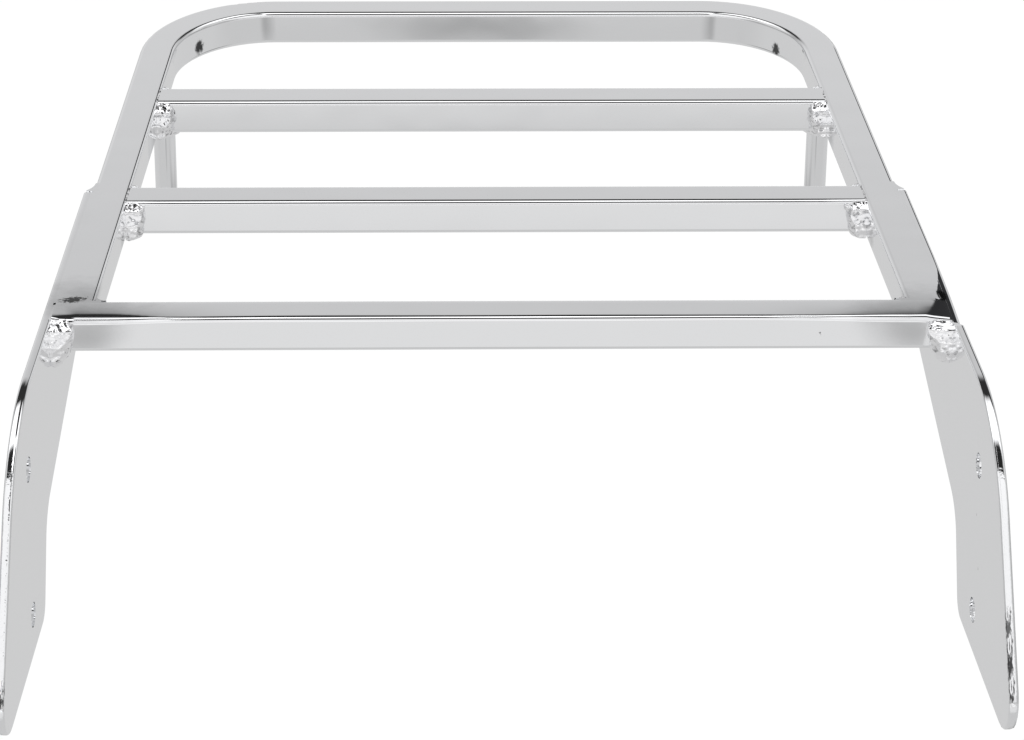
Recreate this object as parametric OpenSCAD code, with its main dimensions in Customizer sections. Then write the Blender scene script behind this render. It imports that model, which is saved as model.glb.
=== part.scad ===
// Luggage rack for a motorcycle's rear mudguard: a bent square-bar hoop, three
// cross bars, two drilled side plates and two short posts, all welded together.
// Millimetres. +X is the rider's right, +Y points to the rear, +Z is up.

/* [Bar stock] */
// Side of the square bar that the hoop and the cross bars are made of
bar_size = 12.7; // [10:0.1:16]
// Rounding along the bar's four long edges
bar_edge_r = 1.6; // [0.8:0.1:2.4]

/* [Hoop] */
// Width over the two legs at the front bar's front face
front_width = 296.6; // [240:0.2:360]
// Length from the front bar's front face to the back of the hoop
rack_length = 262; // [235:1:320]
// Angle by which each leg leans in towards the back
leg_taper = 4.4; // [0:0.1:8]
// Outer radius of the two bent corners at the back
bend_r = 50; // [30:1:60]

/* [Cross bars] */
// From the front bar's front face to the middle bar's front face
middle_bar_pitch = 86; // [60:0.5:95]
// From the middle bar's front face to the rear bar's front face
rear_bar_pitch = 82.5; // [60:0.5:95]

/* [Side plates] */
// Thickness of a side plate
plate_t = 3.2; // [2.5:0.1:6]
// Rounding of a plate's edges
plate_edge_r = 0.8; // [0.4:0.1:1.2]
// How far a plate runs back along the leg from the front bar's front face
plate_back_reach = 95; // [75:1:115]
// How far forward the top edge would run before it meets the front edge
plate_top_reach = 71; // [60:1:90]
// How far forward the front edge would reach at the bottom
plate_tip_reach = 127; // [110:1:150]
// Depth of a plate below the rack's top face
plate_drop = 91; // [80:1:110]
// How far forward of the front bar the bottom edge ends
foot_back_reach = 39; // [30:1:50]
// How far forward of the front bar the waist of the back edge lies
waist_reach = 26; // [16:1:30]
// Depth of that waist below the top face
waist_drop = 59; // [48:1:66]
// Height of the plate's tail at its back end
tail_height = 20; // [14:0.5:30]
// Radius of the big curve from the top edge to the front edge
shoulder_r = 56; // [30:1:60]
// Radius of the front toe
toe_r = 12; // [6:1:16]
// Radius of the bottom edge's back corner
heel_r = 8; // [4:1:12]
// Radius of the hollow at the waist
waist_r = 18; // [8:1:26]
// Radius of the tail's lower corner
tail_r = 2.5; // [1.5:0.5:4]

/* [Bolt holes] */
// Diameter of the four bolt holes
bolt_hole_d = 8.4; // [6:0.1:10.5]
// Upper hole: distance forward of the front bar's front face
upper_hole_reach = 54; // [45:0.5:60]
// Upper hole: depth below the top face
upper_hole_drop = 26; // [22:0.5:34]
// Lower hole: distance forward of the front bar's front face
lower_hole_reach = 60; // [52:0.5:70]
// Lower hole: depth below the top face
lower_hole_drop = 77; // [60:0.5:78]

/* [Posts] */
// Diameter of the two round posts under the rear bar
post_d = 8; // [6:0.1:9.5]
// Length of a post below the bar
post_length = 32; // [20:1:45]
// Distance from a post's axis in to the leg's inner face
post_inset = 1.2; // [0:0.1:4]
// Chamfer round a post's lower end
post_chamfer = 0.8; // [0.3:0.1:1.5]

/* [Welds] */
// Size of the lumpy beads in front of the middle and rear bars
bead_r = 5.8; // [4:0.1:6.4]
// Size of the lumpy bead between the front bar and a plate
front_bead_r = 6.6; // [4.5:0.1:7.5]
// How far the front bead runs down a plate below the bar
front_bead_run = 4.5; // [2:0.5:8]
// Throat of the smooth fillets behind the bars
back_fillet = 3.6; // [2:0.1:5]
// Width of the weld ring round a post's top
post_ring = 2.2; // [1:0.1:2.6]
// Length of the ground weld at a plate's back end
plate_end_run = 6.5; // [4:0.5:10]
// Leg of the stitch welds between a plate and the leg's underside
stitch_leg = 3; // [2:0.1:4.5]
// Length of one stitch weld
stitch_length = 18; // [10:1:22]
// Number of stitch welds on each side
stitch_count = 3; // [2:1:3]

/* [Hidden] */

LEFT = -1;
RIGHT = 1;
CHROME = [0.80, 0.81, 0.83];
WELD = [0.72, 0.73, 0.76];

// Longer than the rack in every direction, for half-spaces
reach = 2 * (rack_length + front_width);
// Number of lumps down one bead
bead_lumps = 4;
// How much a lump's size varies, and the step in degrees from one lump's size to the next
lump_swing = 0.09;
lump_step = 137;
// How deep the first lump's centre lies below the top face, in lump radii
lump_depth = 0.55;
// How far a lump sits off the corner's line
lump_shift = 0.7;
// Points along each rounded corner of a plate
corner_steps = 8;
shoulder_steps = 20;
// Overlap of cutting tools past the faces they cut
past = 1;
// How far the metal in a groove runs on into its bead
fill_lap = 2;
// How far the last stitch weld ends before a plate's back end
tail_clear = 8;

middle_bar_y = middle_bar_pitch;
rear_bar_y = middle_bar_y + rear_bar_pitch;
half_front = front_width / 2;

// Straight length of a leg, measured along its outer face from the front bar's front face
leg_straight = (rack_length - bend_r * (1 - sin(leg_taper))) / cos(leg_taper);
// Centre of a bend, across the rack
bend_centre_x = half_front - bend_r * cos(leg_taper) - leg_straight * sin(leg_taper);

// Where a leg's inner face lies at a given distance from the front
function leg_inner_x(y) = half_front - y * tan(leg_taper) - bar_size / cos(leg_taper);

// The tail's upper corner is only as round as the plate's edges let it be
top_corner_r = 1.25 * plate_edge_r;
// Depth and set-back of the middle facet of a plate's rounded edge
plate_bevel = plate_edge_r * (1 - cos(45));

// Corners of a plate's outline, each with its radius and its number of steps.
// The first number is forward (-) or back (+) along the leg, the second is down (-).
plate_corners = [
    [[plate_back_reach, 0], top_corner_r, corner_steps],
    [[-plate_top_reach, 0], shoulder_r, shoulder_steps],
    [[-plate_tip_reach, -plate_drop], toe_r, corner_steps],
    [[-foot_back_reach, -plate_drop], heel_r, corner_steps],
    [[-waist_reach, -waist_drop], waist_r, corner_steps],
    [[plate_back_reach, -tail_height], tail_r, corner_steps]
];
corner_count = len(plate_corners);

function unit(v) = v / norm(v);
function turn_left(v) = [-v[1], v[0]];
function heading(i) = unit(plate_corners[(i + 1) % corner_count][0] - plate_corners[i][0]);
// +1 where the outline bulges out, -1 at the hollow of the waist
function bulge(before, after) = sign(before[0] * after[1] - before[1] * after[0]);

// Points of one rounded corner, moved in by inset
function corner_arc(i, inset) =
    let (
        vertex = plate_corners[i][0],
        r = plate_corners[i][1],
        steps = plate_corners[i][2],
        before = heading((i + corner_count - 1) % corner_count),
        after = heading(i),
        side = bulge(before, after),
        sweep = acos(before * after),
        centre = vertex - before * r * tan(sweep / 2) + side * turn_left(before) * r,
        from = -side * turn_left(before)
    )
    [for (k = [0:steps])
        let (a = side * sweep * k / steps)
        centre + (r - side * inset)
            * [from[0] * cos(a) - from[1] * sin(a), from[0] * sin(a) + from[1] * cos(a)]];

function plate_outline(inset) =
    [for (i = [0:corner_count - 1]) each corner_arc(i, inset)];

// The plate's most forward point, along the leg and then along the rack
toe_reach = -min([for (p = plate_outline(0)) p[0]]);
toe_y = plate_edge_r * sin(leg_taper) - toe_reach * cos(leg_taper);
// Centre of the rack's bounding box, which is the part's origin
centre_y = (rack_length + toe_y) / 2;
centre_z = -plate_drop / 2;

module seated() {
    translate([0, -centre_y, -centre_z]) children();
}

// Draws its children on the right, or mirrored on the left
module on_side(side) {
    if (side == LEFT) mirror([1, 0, 0]) children();
    else children();
}

// Frame of the right leg: x = 0 is its outer face, y runs back along it
module leg_frame() {
    translate([half_front, 0, 0]) rotate([0, 0, leg_taper]) children();
}

// Sweeps its children along the right leg, between two distances in the leg's frame
module along_leg(from, to) {
    leg_frame() translate([0, to, 0]) rotate([90, 0, 0]) linear_extrude(to - from) children();
}

module bar_section() {
    flat = bar_size - 2 * bar_edge_r;
    square([bar_size, flat], center = true);
    square([flat, bar_size], center = true);
    for (x = [-1, 1], y = [-1, 1])
        translate([x, y] * flat / 2) circle(r = bar_edge_r, $fn = 32);
}

// Straight bar along Y, with its outer top edge on the Y axis
module bar_along_y(from, to) {
    translate([-bar_size / 2, from, -bar_size / 2])
        rotate([-90, 0, 0]) linear_extrude(to - from) bar_section();
}

// Straight bar along X, centred, with its front face at y = 0
module bar_along_x(length) {
    translate([-length / 2, bar_size / 2, -bar_size / 2])
        rotate([90, 0, 90]) linear_extrude(length) bar_section();
}

// Right half of the hoop, drawn round the centre of its bend: leg, bend and half the back bar
module right_half_hoop() {
    translate([bend_centre_x, rack_length - bend_r, 0]) {
        rotate([0, 0, leg_taper]) translate([bend_r, 0, 0]) bar_along_y(-leg_straight - bar_size, 0);
        translate([0, 0, -bar_size / 2]) rotate_extrude(start = leg_taper, angle = 90 - leg_taper, $fn = 128)
            translate([bend_r - bar_size / 2, 0]) bar_section();
        translate([0, bend_r, 0]) rotate([0, 0, 90]) bar_along_y(0, bend_centre_x + past);
    }
}

// The hoop, with its legs cut square to the rack behind the front bar
module hoop() {
    color(CHROME) seated() difference() {
        for (side = [LEFT, RIGHT]) on_side(side) right_half_hoop();
        translate([-reach / 2, bar_size - reach, -reach / 2]) cube(reach);
    }
}

// Everything outside a plane parallel to the right leg's outer face
module beyond_leg(offset) {
    leg_frame() translate([offset, -reach / 2, -reach / 2]) cube(reach);
}

// Bar across the rack at y, with its ends cut at the given offset from the legs' outer faces
module cross_bar(y, end_offset) {
    difference() {
        translate([0, y, 0]) bar_along_x(front_width + 2 * bar_size);
        for (side = [LEFT, RIGHT]) on_side(side) beyond_leg(end_offset);
    }
}

module front_cross_bar() {
    color(CHROME) seated() cross_bar(0, 0);
}

module middle_cross_bar() {
    color(CHROME) seated() cross_bar(middle_bar_y, -bar_size);
}

module rear_cross_bar() {
    color(CHROME) seated() cross_bar(rear_bar_y, -bar_size);
}

// Plate with rounded edges: rings of the outline, one behind the other. Each flat face is a fan
// of triangles round a point below the shoulder that sees the whole outline past the waist.
module plate_blank() {
    hub = [-(waist_reach + plate_top_reach) / 2, -waist_drop / 2];
    rings = [
        [0, plate_edge_r],
        [plate_bevel, plate_bevel],
        [plate_edge_r, 0],
        [plate_t - plate_edge_r, 0],
        [plate_t - plate_bevel, plate_bevel],
        [plate_t, plate_edge_r]
    ];
    n = len(plate_outline(0));
    last = (len(rings) - 1) * n;
    points = [
        for (ring = rings) each [for (p = plate_outline(ring[1])) [ring[0], p[0], p[1]]],
        [0, hub[0], hub[1]],
        [plate_t, hub[0], hub[1]]
    ];
    walls = [for (k = [0:len(rings) - 2], i = [0:n - 1])
        let (j = (i + 1) % n)
        [k * n + i, (k + 1) * n + i, (k + 1) * n + j, k * n + j]];
    caps = [for (i = [0:n - 1])
        let (j = (i + 1) % n)
        each [[last + n, i, j], [last + n + 1, last + j, last + i]]];
    polyhedron(points = points, faces = concat(walls, caps), convexity = 6);
}

module bolt_hole(reach_forward, drop) {
    translate([-past, -reach_forward, -drop])
        rotate([0, 90, 0]) cylinder(h = plate_t + 2 * past, d = bolt_hole_d, $fn = 48);
}

module side_plate(side) {
    color(CHROME) seated() on_side(side) leg_frame() difference() {
        plate_blank();
        bolt_hole(upper_hole_reach, upper_hole_drop);
        bolt_hole(lower_hole_reach, lower_hole_drop);
    }
}

post_y = rear_bar_y + bar_size / 2;
post_x = leg_inner_x(post_y) - post_inset;

module post(side) {
    color(CHROME) seated() on_side(side)
        translate([post_x, post_y, -bar_size - post_length]) {
            translate([0, 0, post_chamfer])
                cylinder(h = post_length - post_chamfer, d = post_d, $fn = 48);
            cylinder(h = post_chamfer, d1 = post_d - 2 * post_chamfer, d2 = post_d, $fn = 48);
        }
}

// Column of uneven lumps, from the top face down to the given depth
module lumps(r, depth, count) {
    for (i = [0:count - 1])
        translate([
            lump_shift * cos(lump_step * i), lump_shift * sin(lump_step * i),
            -r * lump_depth - i * (depth - r) / (count - 1)
        ])
            sphere(r = r * (1 + lump_swing * sin(lump_step * i)), $fn = 32);
}

// Keeps what lies between the rack's top face and the given depth
module clipped_to(depth) {
    intersection() {
        children();
        translate([-reach / 2, -reach / 2, -depth]) cube([reach, reach, depth]);
    }
}

// Metal in the grooves between the end of the bar at y and the leg's rounded inner edges
module bar_end_fill(y) {
    intersection() {
        along_leg(0, leg_straight) difference() {
            translate([-bar_size, -bar_size]) square([bar_edge_r, bar_size]);
            translate([-bar_size / 2, -bar_size / 2]) bar_section();
        }
        translate([0, y - fill_lap, -bar_size]) cube([half_front, bar_size + fill_lap, bar_size]);
    }
}

// Lumpy bead in the corner between a cross bar's front face and the right leg
module bar_bead(y) {
    difference() {
        clipped_to(bar_size) translate([leg_inner_x(y), y, 0]) lumps(bead_r, bar_size, bead_lumps);
        beyond_leg(-bar_size);
        translate([-reach / 2, y, -reach / 2]) cube(reach);
    }
    bar_end_fill(y);
}

// Smooth fillet in the corner between a cross bar's back face and the right leg
module bar_back_weld(y) {
    corner_y = y + bar_size;
    difference() {
        translate([leg_inner_x(corner_y) - back_fillet, corner_y, -bar_size])
            linear_extrude(bar_size) difference() {
                square(back_fillet);
                translate([0, back_fillet]) circle(r = back_fillet, $fn = 64);
            }
        beyond_leg(-bar_size);
    }
}

module middle_bead(side) {
    color(WELD) seated() on_side(side) bar_bead(middle_bar_y);
}

module rear_bead(side) {
    color(WELD) seated() on_side(side) bar_bead(rear_bar_y);
}

module middle_back_weld(side) {
    color(WELD) seated() on_side(side) bar_back_weld(middle_bar_y);
}

module rear_back_weld(side) {
    color(WELD) seated() on_side(side) bar_back_weld(rear_bar_y);
}

// Fillet behind the front bar, with the metal in the grooves where the leg butts against it
module front_corner_weld(side) {
    color(WELD) seated() on_side(side) {
        bar_back_weld(0);
        intersection() {
            rotate([90, 0, 90]) linear_extrude(half_front) difference() {
                translate([bar_size - bar_edge_r, -bar_size]) square([bar_edge_r, bar_size]);
                translate([bar_size / 2, -bar_size / 2]) bar_section();
            }
            leg_frame() translate([-bar_size - fill_lap, -reach / 2, -bar_size])
                cube([bar_size + fill_lap, reach, bar_size]);
        }
    }
}

// Bead between the front bar's front face and a plate, running on down the plate
module front_bead(side) {
    depth = bar_size + front_bead_run;
    color(WELD) seated() on_side(side) difference() {
        clipped_to(depth) translate([half_front, 0, 0]) union() {
            lumps(front_bead_r, bar_size, bead_lumps);
            translate([0, 0, -bar_size]) sphere(r = front_bead_run, $fn = 32);
        }
        beyond_leg(0);
        translate([-reach / 2, 0, -reach / 2]) cube(reach);
    }
}

// Weld ring where a post meets the bar's and the leg's underside
module post_weld(side) {
    color(WELD) seated() on_side(side)
        translate([post_x, post_y, -bar_size]) rotate_extrude($fn = 96)
            translate([post_d / 2, 0]) intersection() {
                circle(r = post_ring, $fn = 48);
                translate([0, -post_ring]) square(post_ring);
            }
}

// Metal that fills the groove between the rack's top face and a plate, ground flush
module plate_top_weld(side) {
    plate_gap = [[0, 0], [plate_edge_r, 0], [plate_bevel, -plate_bevel], [0, -plate_edge_r]];
    color(WELD) seated() on_side(side) {
        along_leg(0, plate_back_reach - top_corner_r) polygon(plate_gap);
        difference() {
            along_leg(0, plate_back_reach + plate_end_run) difference() {
                translate([-bar_edge_r, -bar_edge_r]) square(bar_edge_r);
                translate([-bar_edge_r, -bar_edge_r]) circle(r = bar_edge_r, $fn = 32);
            }
            translate([-reach / 2, bar_size - reach, -reach / 2]) cube(reach);
        }
    }
}

// Ground weld that blends a plate's back end into the leg's outer face
module plate_end_weld(side) {
    // The hollow starts along the leg's outer face and meets the plate's at its end
    blend_r = (plate_t * plate_t + plate_end_run * plate_end_run) / (2 * plate_t);
    depth = bar_size - bar_edge_r;
    color(WELD) seated() on_side(side) leg_frame()
        translate([0, plate_back_reach, -depth]) linear_extrude(depth) difference() {
            square([plate_t - plate_edge_r, plate_end_run]);
            translate([blend_r, plate_end_run]) circle(r = blend_r, $fn = 96);
        }
}

// Stitch welds in the corner under a leg, against its plate
module plate_stitch(side) {
    pitch = (plate_back_reach - tail_clear - bar_size - stitch_length) / (stitch_count - 1);
    color(WELD) seated() on_side(side) for (i = [0:stitch_count - 1])
        along_leg(bar_size + past + i * pitch, bar_size + past + i * pitch + stitch_length)
            difference() {
                translate([-stitch_leg, -bar_size - stitch_leg])
                    square([stitch_leg, stitch_leg + bar_edge_r]);
                translate([-stitch_leg, -bar_size - stitch_leg]) circle(r = stitch_leg, $fn = 48);
                translate([-bar_size / 2, -bar_size / 2]) bar_section();
            }
}

hoop();
front_cross_bar();
middle_cross_bar();
rear_cross_bar();
side_plate(LEFT);  // side_plate_left
side_plate(RIGHT);  // side_plate_right
post(LEFT);  // post_left
post(RIGHT);  // post_right
front_bead(LEFT);  // front_bead_left
front_bead(RIGHT);  // front_bead_right
front_corner_weld(LEFT);  // front_corner_weld_left
front_corner_weld(RIGHT);  // front_corner_weld_right
middle_bead(LEFT);  // middle_bead_left
middle_bead(RIGHT);  // middle_bead_right
middle_back_weld(LEFT);  // middle_back_weld_left
middle_back_weld(RIGHT);  // middle_back_weld_right
rear_bead(LEFT);  // rear_bead_left
rear_bead(RIGHT);  // rear_bead_right
rear_back_weld(LEFT);  // rear_back_weld_left
rear_back_weld(RIGHT);  // rear_back_weld_right
post_weld(LEFT);  // post_weld_left
post_weld(RIGHT);  // post_weld_right
plate_top_weld(LEFT);  // plate_top_weld_left
plate_top_weld(RIGHT);  // plate_top_weld_right
plate_end_weld(LEFT);  // plate_end_weld_left
plate_end_weld(RIGHT);  // plate_end_weld_right
plate_stitch(LEFT);  // plate_stitch_left
plate_stitch(RIGHT);  // plate_stitch_right
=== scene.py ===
"""Dresses the luggage rack: bright plating, lumpy plated welds, ground corners and a pale studio.

Everything is in metres in the rack's own frame: +X is the rider's right, +Y the rear, +Z up.
The origin is the middle of the rack's box, so its top faces lie at TOP and its front bar's
front face at FRONT. Places in mm are counted from its mid-plane, front face and top.
"""

import logging
import math
from dataclasses import dataclass, field
from enum import Enum
from typing import Callable

import bpy
from mathutils import Matrix, Vector

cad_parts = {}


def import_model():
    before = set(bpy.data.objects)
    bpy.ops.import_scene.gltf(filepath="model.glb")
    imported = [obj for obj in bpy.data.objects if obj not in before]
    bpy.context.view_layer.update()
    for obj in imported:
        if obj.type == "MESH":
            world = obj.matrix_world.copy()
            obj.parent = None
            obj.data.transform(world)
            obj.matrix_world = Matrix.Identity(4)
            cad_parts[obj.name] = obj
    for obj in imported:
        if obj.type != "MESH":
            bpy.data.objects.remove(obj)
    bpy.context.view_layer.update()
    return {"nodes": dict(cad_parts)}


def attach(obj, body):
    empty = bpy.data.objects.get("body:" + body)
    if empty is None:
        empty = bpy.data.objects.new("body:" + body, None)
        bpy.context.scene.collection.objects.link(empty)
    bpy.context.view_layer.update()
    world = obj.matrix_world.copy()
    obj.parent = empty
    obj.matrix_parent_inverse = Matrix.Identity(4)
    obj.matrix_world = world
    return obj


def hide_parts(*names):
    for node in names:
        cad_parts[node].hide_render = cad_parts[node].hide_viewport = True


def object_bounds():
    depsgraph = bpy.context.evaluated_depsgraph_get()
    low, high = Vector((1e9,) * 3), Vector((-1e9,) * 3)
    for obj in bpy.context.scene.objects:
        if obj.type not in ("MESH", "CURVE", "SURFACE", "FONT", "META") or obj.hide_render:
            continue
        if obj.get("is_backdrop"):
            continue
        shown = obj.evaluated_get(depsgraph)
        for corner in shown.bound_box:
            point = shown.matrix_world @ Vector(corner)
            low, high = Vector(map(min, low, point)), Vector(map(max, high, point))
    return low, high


Span = tuple[float, float]
Arch = tuple[Span, ...]
Triple = tuple[float, float, float]
Numbers = tuple[float, ...]
Piece = bpy.types.Object
Finish = bpy.types.Material
Node = bpy.types.Node
Socket = bpy.types.NodeSocket

log = logging.getLogger("rack")
MM = 0.001
BODY = "root"
TOP = 45.5 * MM
FRONT = -72.4426 * MM


class Side(Enum):
    """A side of the rack, as the sign of its X."""

    LEFT = -1
    RIGHT = 1

    @property
    def word(self) -> str:
        """The side's name as the nodes spell it."""
        return self.name.lower()


class Slot(Enum):
    """The record's two finishes."""

    PLATING = "chrome"
    WELD = "weld"


def rack_point(x: float, y: float, z: float) -> Vector:
    """A place given in mm, in the scene's metres."""
    return Vector((x * MM, y * MM + FRONT, z * MM + TOP))


def smooth_step(value: float, low: float, high: float) -> float:
    """The smooth rise from 0 at low to 1 at high."""
    share = min(1.0, max(0.0, (value - low) / (high - low)))
    return share * share * (3.0 - 2.0 * share)


# Node tools


class NodeSheet:
    """A small drawing board for shader nodes: it adds nodes and joins their sockets."""

    def __init__(self, tree: bpy.types.NodeTree) -> None:
        """Starts an empty board on a node tree."""
        self.tree = tree
        tree.nodes.clear()

    def add(self, kind: str, settings: dict | None = None, **inputs: object) -> Node:
        """Adds a node.

        Args:
            kind: Its type, such as Math.
            settings: Properties of the node itself.
            **inputs: Socket values or sockets to join, by name with underscores for blanks.

        Returns:
            The new node.
        """
        node = self.tree.nodes.new(f"ShaderNode{kind}")
        for name, value in (settings or {}).items():
            setattr(node, name, value)
        for name, value in inputs.items():
            self.feed(self.socket(node, name), value)
        return node

    @staticmethod
    def socket(node: Node, name: str) -> Socket:
        """Finds one of a node's inputs.

        Args:
            node: The node.
            name: The input's name with underscores for blanks, or its number after one, such as _1.

        Returns:
            The input.
        """
        if name[1:].isdigit():
            return node.inputs[int(name[1:])]
        return node.inputs[name.replace("_", " ")]

    def feed(self, target: Socket, value: object) -> None:
        """Joins a socket to an input, or sets the input's value.

        Args:
            target: The input.
            value: A node, whose first output is joined, a socket or a plain value.
        """
        if isinstance(value, Node):
            value = value.outputs[0]
        if isinstance(value, Socket):
            self.tree.links.new(value, target)
        else:
            target.default_value = value

    def maths(self, operation: str, a: object, b: object = 0.0, clamp: bool = False) -> Node:
        """Adds a Math node with one or two inputs."""
        return self.add("Math", {"operation": operation, "use_clamp": clamp}, _0=a, _1=b)

    def total(self, *values: object) -> Node:
        """Adds values up."""
        result = values[0]
        for value in values[1:]:
            result = self.maths("ADD", result, value)
        return result

    def product(self, *values: object) -> Node:
        """Multiplies values."""
        result = values[0]
        for value in values[1:]:
            result = self.maths("MULTIPLY", result, value)
        return result

    def band(
        self, value: object, low: float, high: float, start: float = 0.0, end: float = 1.0,
    ) -> Node:
        """Maps a value from low and high onto start and end, smoothly and held at the ends."""
        return self.add(
            "MapRange", {"interpolation_type": "SMOOTHSTEP"},
            _0=value, _1=low, _2=high, _3=start, _4=end,
        )

    def noise(self, vector: object, scale: float, detail: float = 2.0, roughness: float = 0.5) -> Socket:
        """Adds a noise texture and gives its value."""
        node = self.add("TexNoise", Vector=vector, Scale=scale, Detail=detail, Roughness=roughness)
        return node.outputs[0]

    def blend(self, share: object, first: object, second: object) -> Socket:
        """Mixes two colours."""
        node = self.add("Mix", {"data_type": "RGBA"}, _0=share, _6=first, _7=second)
        return node.outputs[2]

    def cover(self, colour: object, rough: object, height: object) -> None:
        """Ends a material's sheet with bumpy metal of that colour and roughness."""
        bump = self.add("Bump", Strength=1.0, Distance=1.0, Height=height)
        metal = self.add(
            "BsdfPrincipled", Base_Color=colour, Metallic=1.0, Roughness=rough, Normal=bump,
        )
        self.add("OutputMaterial", Surface=metal)


def start_material(name: str) -> tuple[Finish, NodeSheet, Socket]:
    """Makes an empty material.

    Args:
        name: Its name.

    Returns:
        The material, its sheet and the socket with the place on the surface.
    """
    material = bpy.data.materials.new(name)
    material.use_nodes = True
    sheet = NodeSheet(material.node_tree)
    return material, sheet, sheet.add("TexCoord").outputs["Object"]


class Effect:
    """A shader node group: a shared surface effect with named inputs and outputs."""

    def __init__(self, name: str, inputs: dict[str, tuple[str, object]], outputs: dict[str, str]) -> None:
        """Makes the empty group.

        Args:
            name: The group's name.
            inputs: Each input's socket type and value.
            outputs: Each output's socket type.
        """
        self.tree = bpy.data.node_groups.new(name, "ShaderNodeTree")
        self.sheet = NodeSheet(self.tree)
        for label, (kind, value) in inputs.items():
            socket = self.tree.interface.new_socket(label, in_out="INPUT", socket_type=kind)
            if value is not None:
                socket.default_value = value
        for label, kind in outputs.items():
            self.tree.interface.new_socket(label, in_out="OUTPUT", socket_type=kind)
        self.entry, self.exit = (self.tree.nodes.new(f"NodeGroup{end}") for end in ("Input", "Output"))

    def place(self, sheet: NodeSheet, **inputs: object) -> Node:
        """Puts the group into a material's sheet.

        Args:
            sheet: The material's sheet.
            **inputs: Values or sockets for the group's inputs.

        Returns:
            The group's node.
        """
        node = sheet.add("Group", {"node_tree": self.tree})
        for label, value in inputs.items():
            sheet.feed(node.inputs[label.replace("_", " ")], value)
        return node


FLOAT, VECTOR = "NodeSocketFloat", "NodeSocketVector"
SPECK_WARP = 2.2 * MM
SPECK_DEPTH = 0.00006


def make_ripple() -> Effect:
    """The unevenness that polishing leaves: long soft waves and fine drawn lines, as a height in metres.

    Returns:
        The effect, with the output Height.
    """
    effect = Effect(
        "polish_ripple",
        {"Vector": (VECTOR, None), "Wave": (FLOAT, 0.00002), "Line": (FLOAT, 0.0000004)},
        {"Height": FLOAT},
    )
    sheet, entry = effect.sheet, effect.entry
    long_waves = sheet.noise(entry.outputs["Vector"], 42.0, 1.0)
    drawn = sheet.add("Mapping", Vector=entry.outputs["Vector"], Scale=(1.0, 0.35, 1.0))
    lines = sheet.noise(drawn, 900.0, 2.0)
    sheet.feed(
        effect.exit.inputs["Height"],
        sheet.total(
            sheet.product(long_waves, entry.outputs["Wave"]), sheet.product(lines, entry.outputs["Line"]),
        ),
    )
    return effect


def make_pitting() -> Effect:
    """Sparse pinholes and specks in the plating.

    Returns:
        The effect, with a Mask of the specks and their Height.
    """
    effect = Effect(
        "plating_pits",
        {"Vector": (VECTOR, None), "Density": (FLOAT, 300.0), "Share": (FLOAT, 0.04), "Size": (FLOAT, 0.25)},
        {"Mask": FLOAT, "Height": FLOAT},
    )
    sheet, entry = effect.sheet, effect.entry
    bend = sheet.add("TexNoise", Vector=entry.outputs["Vector"], Scale=1500.0, Detail=1.0)
    shift = sheet.add(
        "VectorMath", {"operation": "SUBTRACT"}, _0=bend.outputs["Color"], _1=(0.5,) * 3,
    )
    push = sheet.add(
        "VectorMath", {"operation": "MULTIPLY_ADD"},
        _0=shift, _1=(SPECK_WARP,) * 3, _2=entry.outputs["Vector"],
    )
    cells = sheet.add("TexVoronoi", Vector=push, Scale=entry.outputs["Density"], Randomness=1.0)
    lot = sheet.add("SeparateColor", Color=cells.outputs["Color"]).outputs[0]
    chosen = sheet.maths("LESS_THAN", lot, entry.outputs["Share"])
    far = sheet.maths("DIVIDE", cells.outputs["Distance"], entry.outputs["Size"], clamp=True)
    near = sheet.maths("SUBTRACT", 1.0, far, clamp=True)
    mask = sheet.maths("MULTIPLY", sheet.band(near, 0.05, 0.45), chosen, clamp=True)
    sheet.feed(effect.exit.inputs["Mask"], mask)
    sheet.feed(effect.exit.inputs["Height"], sheet.product(mask, -SPECK_DEPTH))
    return effect


def make_mark() -> Effect:
    """A darker patch on the surface, soft or ragged at its edge; most of them are painted reflections.

    Returns:
        The effect, with the output Mask.
    """
    effect = Effect(
        "painted_dark_mark", {"Vector": (VECTOR, None), "Ragged": (FLOAT, 0.5), "Soft": (FLOAT, 0.5)},
        {"Mask": FLOAT},
    )
    sheet, entry = effect.sheet, effect.entry
    vector = entry.outputs["Vector"]
    reach = sheet.add("VectorMath", {"operation": "LENGTH"}, _0=vector).outputs["Value"]
    uneven = sheet.maths("SUBTRACT", sheet.noise(vector, 2.6, 3.0, 0.65), 0.5)
    edge = sheet.maths("ADD", reach, sheet.product(uneven, entry.outputs["Ragged"], 3.0))
    depth = sheet.maths("DIVIDE", sheet.maths("SUBTRACT", 1.0, edge), entry.outputs["Soft"], clamp=True)
    sheet.feed(effect.exit.inputs["Mask"], sheet.band(depth, 0.0, 1.0))
    return effect


@dataclass(frozen=True)
class Mark:
    """One darker patch, mostly a painted reflection.

    Attributes:
        place: Its middle, in mm.
        size: Its half-lengths along X, Y and Z in mm.
        depth: How dark its middle is, from 0 to 1.
        turn: Its turn about Z in degrees.
        lean: Its turn about X in degrees.
        ragged: How uneven its edge is.
        soft: The share of it over which it fades.
    """

    place: Triple
    size: Triple
    depth: float
    turn: float = 0.0
    lean: float = 0.0
    ragged: float = 0.3
    soft: float = 1.0

    def put(self, sheet: NodeSheet, place: object, effect: Effect) -> Node:
        """Adds the mark to a material's sheet.

        Args:
            sheet: The material's sheet.
            place: The socket with the place on the surface.
            effect: The mark's effect.

        Returns:
            How much of the surface's brightness the mark leaves, from 0 to 1.
        """
        local = sheet.add(
            "Mapping", {"vector_type": "TEXTURE"}, Vector=place, Location=rack_point(*self.place),
            Rotation=(math.radians(self.lean), 0.0, math.radians(self.turn)),
            Scale=tuple(half * MM for half in self.size),
        )
        mask = effect.place(sheet, Vector=local, Ragged=self.ragged, Soft=self.soft).outputs["Mask"]
        return sheet.maths("SUBTRACT", 1.0, sheet.product(mask, self.depth))
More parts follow.
